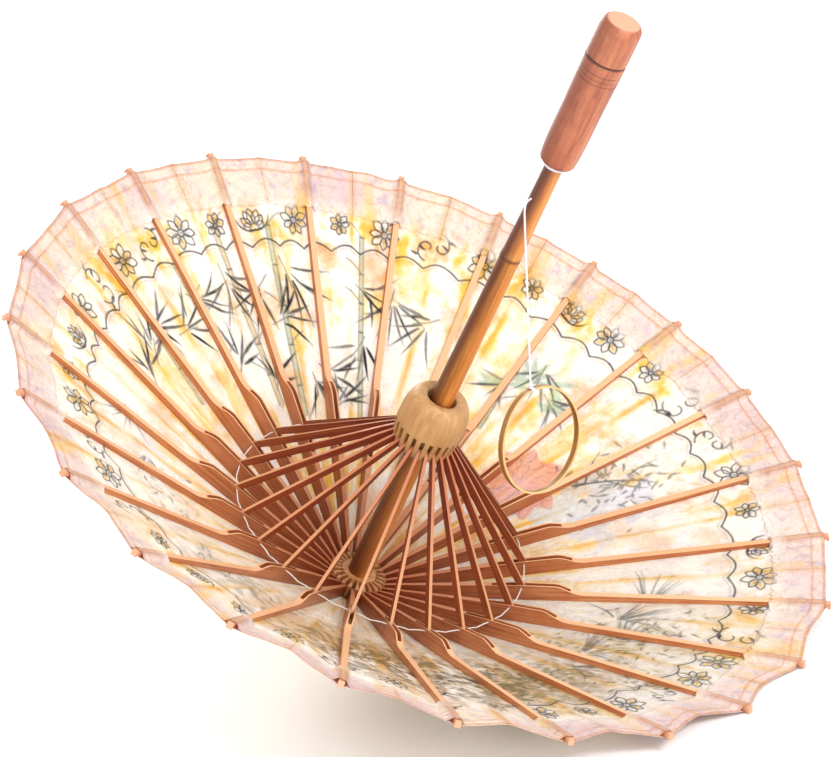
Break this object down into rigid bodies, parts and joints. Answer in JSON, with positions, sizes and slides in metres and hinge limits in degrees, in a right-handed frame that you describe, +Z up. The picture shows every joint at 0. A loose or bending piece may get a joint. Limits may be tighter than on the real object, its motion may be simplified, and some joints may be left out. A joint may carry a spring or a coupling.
{
  "type": "oil paper umbrella",
  "caption": "Open oil paper umbrella with bamboo ribs and stretchers, turned hub, sliding runner, bamboo shaft, wooden grip, closing ring on a string, resting on its canopy.",
  "frame": {"origin": "centre of the outline on the floor, with the open umbrella lying on its canopy: the shaft's tip and the hem's lowest panel touch Z = 0", "axes": "+Z up, +X the way the shaft leans from upright, +Y across"},
  "size_m": [0.5326, 0.6018, 0.455],
  "materials": {
    "rib_bamboo": "varnished split bamboo, satin",
    "stretcher_bamboo": "varnished split bamboo, satin",
    "shaft_bamboo": "varnished bamboo culm, gloss",
    "grip_wood": "turned and varnished wood, satin",
    "turned_wood": "bare turned wood, matt",
    "ring_bamboo": "varnished bamboo strip, satin",
    "oiled_paper": "oiled mulberry paper, translucent, painted inside",
    "lacquered_paper": "lacquered paper cap, gloss",
    "cotton_string": "white twisted cotton, matt",
    "cotton_thread": "white cotton thread, matt"
  },
  "bodies": {
    "root": {"shaft": "shaft_bamboo", "grip": "grip_wood", "hub": "turned_wood", "hub_thread": "cotton_thread", "knee_thread": "cotton_thread", "canopy": "oiled_paper", "canopy_hem": "oiled_paper", "crown_cap": "lacquered_paper"},
    "runner": {"runner": "turned_wood", "runner_thread": "cotton_thread"},
    "rib_01": {"rib_01": "rib_bamboo"},
    "stretcher_01": {"stretcher_01": "stretcher_bamboo"},
    "rib_02": {"rib_02": "rib_bamboo"},
    "stretcher_02": {"stretcher_02": "stretcher_bamboo"},
    "rib_03": {"rib_03": "rib_bamboo"},
    "stretcher_03": {"stretcher_03": "stretcher_bamboo"},
    "rib_04": {"rib_04": "rib_bamboo"},
    "stretcher_04": {"stretcher_04": "stretcher_bamboo"},
    "rib_05": {"rib_05": "rib_bamboo"},
    "stretcher_05": {"stretcher_05": "stretcher_bamboo"},
    "rib_06": {"rib_06": "rib_bamboo"},
    "stretcher_06": {"stretcher_06": "stretcher_bamboo"},
    "rib_07": {"rib_07": "rib_bamboo"},
    "stretcher_07": {"stretcher_07": "stretcher_bamboo"},
    "rib_08": {"rib_08": "rib_bamboo"},
    "stretcher_08": {"stretcher_08": "stretcher_bamboo"},
    "rib_09": {"rib_09": "rib_bamboo"},
    "stretcher_09": {"stretcher_09": "stretcher_bamboo"},
    "rib_10": {"rib_10": "rib_bamboo"},
    "stretcher_10": {"stretcher_10": "stretcher_bamboo"},
    "rib_11": {"rib_11": "rib_bamboo"},
    "stretcher_11": {"stretcher_11": "stretcher_bamboo"},
    "rib_12": {"rib_12": "rib_bamboo"},
    "stretcher_12": {"stretcher_12": "stretcher_bamboo"},
    "rib_13": {"rib_13": "rib_bamboo"},
    "stretcher_13": {"stretcher_13": "stretcher_bamboo"},
    "rib_14": {"rib_14": "rib_bamboo"},
    "stretcher_14": {"stretcher_14": "stretcher_bamboo"},
    "rib_15": {"rib_15": "rib_bamboo"},
    "stretcher_15": {"stretcher_15": "stretcher_bamboo"},
    "rib_16": {"rib_16": "rib_bamboo"},
    "stretcher_16": {"stretcher_16": "stretcher_bamboo"},
    "rib_17": {"rib_17": "rib_bamboo"},
    "stretcher_17": {"stretcher_17": "stretcher_bamboo"},
    "rib_18": {"rib_18": "rib_bamboo"},
    "stretcher_18": {"stretcher_18": "stretcher_bamboo"},
    "rib_19": {"rib_19": "rib_bamboo"},
    "stretcher_19": {"stretcher_19": "stretcher_bamboo"},
    "rib_20": {"rib_20": "rib_bamboo"},
    "stretcher_20": {"stretcher_20": "stretcher_bamboo"},
    "rib_21": {"rib_21": "rib_bamboo"},
    "stretcher_21": {"stretcher_21": "stretcher_bamboo"},
    "rib_22": {"rib_22": "rib_bamboo"},
    "stretcher_22": {"stretcher_22": "stretcher_bamboo"},
    "rib_23": {"rib_23": "rib_bamboo"},
    "stretcher_23": {"stretcher_23": "stretcher_bamboo"},
    "rib_24": {"rib_24": "rib_bamboo"},
    "stretcher_24": {"stretcher_24": "stretcher_bamboo"},
    "string": {"ring_cord": "cotton_string"},
    "ring": {"closing_ring": "ring_bamboo"}
  },
  "joints": [
    {"name": "runner_slide", "type": "slide", "parent": "root", "child": "runner", "axis": [0.4654, 0, 0.8851], "range_m": [0, 0.09113], "deforming": ["canopy", "canopy_hem", "knee_thread"]},
    {"name": "rib_hinge_01", "type": "hinge", "parent": "root", "child": "rib_01", "pos_m": [-0.04991, 0.00209, 0.01123], "axis": [0.1155, -0.9914, -0.0607], "range_deg": [0, 57.21]},
    {"name": "stretcher_hinge_01", "type": "hinge", "parent": "runner", "child": "stretcher_01", "pos_m": [0.01455, 0.00248, 0.12745], "axis": [-0.1155, 0.9914, 0.0607], "range_deg": [0, 45.11]},
    {"name": "rib_hinge_02", "type": "hinge", "parent": "root", "child": "rib_02", "pos_m": [-0.05087, 0.00612, 0.01174], "axis": [0.3387, -0.9239, -0.1781], "range_deg": [0, 57.21]},
    {"name": "stretcher_hinge_02", "type": "hinge", "parent": "runner", "child": "stretcher_02", "pos_m": [0.01342, 0.00727, 0.12804], "axis": [-0.3387, 0.9239, 0.1781], "range_deg": [0, 45.11]},
    {"name": "rib_hinge_03", "type": "hinge", "parent": "root", "child": "rib_03", "pos_m": [-0.05271, 0.00974, 0.01271], "axis": [0.5388, -0.7934, -0.2833], "range_deg": [0, 57.21]},
    {"name": "stretcher_hinge_03", "type": "hinge", "parent": "runner", "child": "stretcher_03", "pos_m": [0.01122, 0.01157, 0.1292], "axis": [-0.5388, 0.7934, 0.2833], "range_deg": [0, 45.11]},
    {"name": "rib_hinge_04", "type": "hinge", "parent": "root", "child": "rib_04", "pos_m": [-0.05533, 0.01269, 0.01408], "axis": [0.7022, -0.6088, -0.3692], "range_deg": [0, 57.21]},
    {"name": "stretcher_hinge_04", "type": "hinge", "parent": "runner", "child": "stretcher_04", "pos_m": [0.00812, 0.01507, 0.13083], "axis": [-0.7022, 0.6088, 0.3692], "range_deg": [0, 45.11]},
    {"name": "rib_hinge_05", "type": "hinge", "parent": "root", "child": "rib_05", "pos_m": [-0.05853, 0.01478, 0.01577], "axis": [0.8177, -0.3827, -0.4299], "range_deg": [0, 57.21]},
    {"name": "stretcher_hinge_05", "type": "hinge", "parent": "runner", "child": "stretcher_05", "pos_m": [0.00431, 0.01755, 0.13283], "axis": [-0.8177, 0.3827, 0.4299], "range_deg": [0, 45.11]},
    {"name": "rib_hinge_06", "type": "hinge", "parent": "root", "child": "rib_06", "pos_m": [-0.0621, 0.01586, 0.01764], "axis": [0.8775, -0.1305, -0.4614], "range_deg": [0, 57.21]},
    {"name": "stretcher_hinge_06", "type": "hinge", "parent": "runner", "child": "stretcher_06", "pos_m": [0.00007, 0.01884, 0.13506], "axis": [-0.8775, 0.1305, 0.4614], "range_deg": [0, 45.11]},
    {"name": "rib_hinge_07", "type": "hinge", "parent": "root", "child": "rib_07", "pos_m": [-0.0658, 0.01586, 0.01959], "axis": [0.8775, 0.1305, -0.4614], "range_deg": [0, 57.21]},
    {"name": "stretcher_hinge_07", "type": "hinge", "parent": "runner", "child": "stretcher_07", "pos_m": [-0.00432, 0.01884, 0.13737], "axis": [-0.8775, -0.1305, 0.4614], "range_deg": [0, 45.11]},
    {"name": "rib_hinge_08", "type": "hinge", "parent": "root", "child": "rib_08", "pos_m": [-0.06937, 0.01478, 0.02146], "axis": [0.8177, 0.3827, -0.4299], "range_deg": [0, 57.21]},
    {"name": "stretcher_hinge_08", "type": "hinge", "parent": "runner", "child": "stretcher_08", "pos_m": [-0.00856, 0.01755, 0.1396], "axis": [-0.8177, -0.3827, 0.4299], "range_deg": [0, 45.11]},
    {"name": "rib_hinge_09", "type": "hinge", "parent": "root", "child": "rib_09", "pos_m": [-0.07257, 0.01269, 0.02315], "axis": [0.7022, 0.6088, -0.3692], "range_deg": [0, 57.21]},
    {"name": "stretcher_hinge_09", "type": "hinge", "parent": "runner", "child": "stretcher_09", "pos_m": [-0.01236, 0.01507, 0.1416], "axis": [-0.7022, -0.6088, 0.3692], "range_deg": [0, 45.11]},
    {"name": "rib_hinge_10", "type": "hinge", "parent": "root", "child": "rib_10", "pos_m": [-0.07518, 0.00974, 0.02452], "axis": [0.5388, 0.7934, -0.2833], "range_deg": [0, 57.21]},
    {"name": "stretcher_hinge_10", "type": "hinge", "parent": "runner", "child": "stretcher_10", "pos_m": [-0.01546, 0.01157, 0.14323], "axis": [-0.5388, -0.7934, 0.2833], "range_deg": [0, 45.11]},
    {"name": "rib_hinge_11", "type": "hinge", "parent": "root", "child": "rib_11", "pos_m": [-0.07703, 0.00612, 0.02549], "axis": [0.3387, 0.9239, -0.1781], "range_deg": [0, 57.21]},
    {"name": "stretcher_hinge_11", "type": "hinge", "parent": "runner", "child": "stretcher_11", "pos_m": [-0.01766, 0.00727, 0.14438], "axis": [-0.3387, -0.9239, 0.1781], "range_deg": [0, 45.11]},
    {"name": "rib_hinge_12", "type": "hinge", "parent": "root", "child": "rib_12", "pos_m": [-0.07799, 0.00209, 0.026], "axis": [0.1155, 0.9914, -0.0607], "range_deg": [0, 57.21]},
    {"name": "stretcher_hinge_12", "type": "hinge", "parent": "runner", "child": "stretcher_12", "pos_m": [-0.01879, 0.00248, 0.14498], "axis": [-0.1155, -0.9914, 0.0607], "range_deg": [0, 45.11]},
    {"name": "rib_hinge_13", "type": "hinge", "parent": "root", "child": "rib_13", "pos_m": [-0.07799, -0.00209, 0.026], "axis": [-0.1155, 0.9914, 0.0607], "range_deg": [0, 57.21]},
    {"name": "stretcher_hinge_13", "type": "hinge", "parent": "runner", "child": "stretcher_13", "pos_m": [-0.01879, -0.00248, 0.14498], "axis": [0.1155, -0.9914, -0.0607], "range_deg": [0, 45.11]},
    {"name": "rib_hinge_14", "type": "hinge", "parent": "root", "child": "rib_14", "pos_m": [-0.07703, -0.00612, 0.02549], "axis": [-0.3387, 0.9239, 0.1781], "range_deg": [0, 57.21]},
    {"name": "stretcher_hinge_14", "type": "hinge", "parent": "runner", "child": "stretcher_14", "pos_m": [-0.01766, -0.00727, 0.14438], "axis": [0.3387, -0.9239, -0.1781], "range_deg": [0, 45.11]},
    {"name": "rib_hinge_15", "type": "hinge", "parent": "root", "child": "rib_15", "pos_m": [-0.07518, -0.00974, 0.02452], "axis": [-0.5388, 0.7934, 0.2833], "range_deg": [0, 57.21]},
    {"name": "stretcher_hinge_15", "type": "hinge", "parent": "runner", "child": "stretcher_15", "pos_m": [-0.01546, -0.01157, 0.14323], "axis": [0.5388, -0.7934, -0.2833], "range_deg": [0, 45.11]},
    {"name": "rib_hinge_16", "type": "hinge", "parent": "root", "child": "rib_16", "pos_m": [-0.07257, -0.01269, 0.02315], "axis": [-0.7022, 0.6088, 0.3692], "range_deg": [0, 57.21]},
    {"name": "stretcher_hinge_16", "type": "hinge", "parent": "runner", "child": "stretcher_16", "pos_m": [-0.01236, -0.01507, 0.1416], "axis": [0.7022, -0.6088, -0.3692], "range_deg": [0, 45.11]},
    {"name": "rib_hinge_17", "type": "hinge", "parent": "root", "child": "rib_17", "pos_m": [-0.06937, -0.01478, 0.02146], "axis": [-0.8177, 0.3827, 0.4299], "range_deg": [0, 57.21]},
    {"name": "stretcher_hinge_17", "type": "hinge", "parent": "runner", "child": "stretcher_17", "pos_m": [-0.00856, -0.01755, 0.1396], "axis": [0.8177, -0.3827, -0.4299], "range_deg": [0, 45.11]},
    {"name": "rib_hinge_18", "type": "hinge", "parent": "root", "child": "rib_18", "pos_m": [-0.0658, -0.01586, 0.01959], "axis": [-0.8775, 0.1305, 0.4614], "range_deg": [0, 57.21]},
    {"name": "stretcher_hinge_18", "type": "hinge", "parent": "runner", "child": "stretcher_18", "pos_m": [-0.00432, -0.01884, 0.13737], "axis": [0.8775, -0.1305, -0.4614], "range_deg": [0, 45.11]},
    {"name": "rib_hinge_19", "type": "hinge", "parent": "root", "child": "rib_19", "pos_m": [-0.0621, -0.01586, 0.01764], "axis": [-0.8775, -0.1305, 0.4614], "range_deg": [0, 57.21]},
    {"name": "stretcher_hinge_19", "type": "hinge", "parent": "runner", "child": "stretcher_19", "pos_m": [0.00007, -0.01884, 0.13506], "axis": [0.8775, 0.1305, -0.4614], "range_deg": [0, 45.11]},
    {"name": "rib_hinge_20", "type": "hinge", "parent": "root", "child": "rib_20", "pos_m": [-0.05853, -0.01478, 0.01577], "axis": [-0.8177, -0.3827, 0.4299], "range_deg": [0, 57.21]},
    {"name": "stretcher_hinge_20", "type": "hinge", "parent": "runner", "child": "stretcher_20", "pos_m": [0.00431, -0.01755, 0.13283], "axis": [0.8177, 0.3827, -0.4299], "range_deg": [0, 45.11]},
    {"name": "rib_hinge_21", "type": "hinge", "parent": "root", "child": "rib_21", "pos_m": [-0.05533, -0.01269, 0.01408], "axis": [-0.7022, -0.6088, 0.3692], "range_deg": [0, 57.21]},
    {"name": "stretcher_hinge_21", "type": "hinge", "parent": "runner", "child": "stretcher_21", "pos_m": [0.00812, -0.01507, 0.13083], "axis": [0.7022, 0.6088, -0.3692], "range_deg": [0, 45.11]},
    {"name": "rib_hinge_22", "type": "hinge", "parent": "root", "child": "rib_22", "pos_m": [-0.05271, -0.00974, 0.01271], "axis": [-0.5388, -0.7934, 0.2833], "range_deg": [0, 57.21]},
    {"name": "stretcher_hinge_22", "type": "hinge", "parent": "runner", "child": "stretcher_22", "pos_m": [0.01122, -0.01157, 0.1292], "axis": [0.5388, 0.7934, -0.2833], "range_deg": [0, 45.11]},
    {"name": "rib_hinge_23", "type": "hinge", "parent": "root", "child": "rib_23", "pos_m": [-0.05087, -0.00612, 0.01174], "axis": [-0.3387, -0.9239, 0.1781], "range_deg": [0, 57.21]},
    {"name": "stretcher_hinge_23", "type": "hinge", "parent": "runner", "child": "stretcher_23", "pos_m": [0.01342, -0.00727, 0.12804], "axis": [0.3387, 0.9239, -0.1781], "range_deg": [0, 45.11]},
    {"name": "rib_hinge_24", "type": "hinge", "parent": "root", "child": "rib_24", "pos_m": [-0.04991, -0.00209, 0.01123], "axis": [-0.1155, -0.9914, 0.0607], "range_deg": [0, 57.21]},
    {"name": "stretcher_hinge_24", "type": "hinge", "parent": "runner", "child": "stretcher_24", "pos_m": [0.01455, -0.00248, 0.12745], "axis": [0.1155, 0.9914, -0.0607], "range_deg": [0, 45.11]},
    {"name": "string_lift", "type": "hinge", "parent": "root", "child": "string", "pos_m": [0.09325, -0.00658, 0.32276], "axis": [-0.342, -0.9397, 0], "range_deg": [0, 120]},
    {"name": "ring_twist", "type": "hinge", "parent": "string", "child": "ring", "pos_m": [0.09113, -0.01241, 0.19076], "axis": [0, 0, 1], "range_deg": [-180, 180]}
  ],
  "couplings": [
    {"joint": "rib_hinge_01", "follows": "runner_slide", "rad_per_m": 10.954},
    {"joint": "stretcher_hinge_01", "follows": "runner_slide", "rad_per_m": 8.6378},
    {"joint": "rib_hinge_02", "follows": "runner_slide", "rad_per_m": 10.954},
    {"joint": "stretcher_hinge_02", "follows": "runner_slide", "rad_per_m": 8.6378},
    {"joint": "rib_hinge_03", "follows": "runner_slide", "rad_per_m": 10.954},
    {"joint": "stretcher_hinge_03", "follows": "runner_slide", "rad_per_m": 8.6378},
    {"joint": "rib_hinge_04", "follows": "runner_slide", "rad_per_m": 10.954},
    {"joint": "stretcher_hinge_04", "follows": "runner_slide", "rad_per_m": 8.6378},
    {"joint": "rib_hinge_05", "follows": "runner_slide", "rad_per_m": 10.954},
    {"joint": "stretcher_hinge_05", "follows": "runner_slide", "rad_per_m": 8.6378},
    {"joint": "rib_hinge_06", "follows": "runner_slide", "rad_per_m": 10.954},
    {"joint": "stretcher_hinge_06", "follows": "runner_slide", "rad_per_m": 8.6378},
    {"joint": "rib_hinge_07", "follows": "runner_slide", "rad_per_m": 10.954},
    {"joint": "stretcher_hinge_07", "follows": "runner_slide", "rad_per_m": 8.6378},
    {"joint": "rib_hinge_08", "follows": "runner_slide", "rad_per_m": 10.954},
    {"joint": "stretcher_hinge_08", "follows": "runner_slide", "rad_per_m": 8.6378},
    {"joint": "rib_hinge_09", "follows": "runner_slide", "rad_per_m": 10.954},
    {"joint": "stretcher_hinge_09", "follows": "runner_slide", "rad_per_m": 8.6378},
    {"joint": "rib_hinge_10", "follows": "runner_slide", "rad_per_m": 10.954},
    {"joint": "stretcher_hinge_10", "follows": "runner_slide", "rad_per_m": 8.6378},
    {"joint": "rib_hinge_11", "follows": "runner_slide", "rad_per_m": 10.954},
    {"joint": "stretcher_hinge_11", "follows": "runner_slide", "rad_per_m": 8.6378},
    {"joint": "rib_hinge_12", "follows": "runner_slide", "rad_per_m": 10.954},
    {"joint": "stretcher_hinge_12", "follows": "runner_slide", "rad_per_m": 8.6378},
    {"joint": "rib_hinge_13", "follows": "runner_slide", "rad_per_m": 10.954},
    {"joint": "stretcher_hinge_13", "follows": "runner_slide", "rad_per_m": 8.6378},
    {"joint": "rib_hinge_14", "follows": "runner_slide", "rad_per_m": 10.954},
    {"joint": "stretcher_hinge_14", "follows": "runner_slide", "rad_per_m": 8.6378},
    {"joint": "rib_hinge_15", "follows": "runner_slide", "rad_per_m": 10.954},
    {"joint": "stretcher_hinge_15", "follows": "runner_slide", "rad_per_m": 8.6378},
    {"joint": "rib_hinge_16", "follows": "runner_slide", "rad_per_m": 10.954},
    {"joint": "stretcher_hinge_16", "follows": "runner_slide", "rad_per_m": 8.6378},
    {"joint": "rib_hinge_17", "follows": "runner_slide", "rad_per_m": 10.954},
    {"joint": "stretcher_hinge_17", "follows": "runner_slide", "rad_per_m": 8.6378},
    {"joint": "rib_hinge_18", "follows": "runner_slide", "rad_per_m": 10.954},
    {"joint": "stretcher_hinge_18", "follows": "runner_slide", "rad_per_m": 8.6378},
    {"joint": "rib_hinge_19", "follows": "runner_slide", "rad_per_m": 10.954},
    {"joint": "stretcher_hinge_19", "follows": "runner_slide", "rad_per_m": 8.6378},
    {"joint": "rib_hinge_20", "follows": "runner_slide", "rad_per_m": 10.954},
    {"joint": "stretcher_hinge_20", "follows": "runner_slide", "rad_per_m": 8.6378},
    {"joint": "rib_hinge_21", "follows": "runner_slide", "rad_per_m": 10.954},
    {"joint": "stretcher_hinge_21", "follows": "runner_slide", "rad_per_m": 8.6378},
    {"joint": "rib_hinge_22", "follows": "runner_slide", "rad_per_m": 10.954},
    {"joint": "stretcher_hinge_22", "follows": "runner_slide", "rad_per_m": 8.6378},
    {"joint": "rib_hinge_23", "follows": "runner_slide", "rad_per_m": 10.954},
    {"joint": "stretcher_hinge_23", "follows": "runner_slide", "rad_per_m": 8.6378},
    {"joint": "rib_hinge_24", "follows": "runner_slide", "rad_per_m": 10.954},
    {"joint": "stretcher_hinge_24", "follows": "runner_slide", "rad_per_m": 8.6378},
    {"joint": "string_lift", "follows": "runner_slide", "rad_per_m": 22.981}
  ]
}
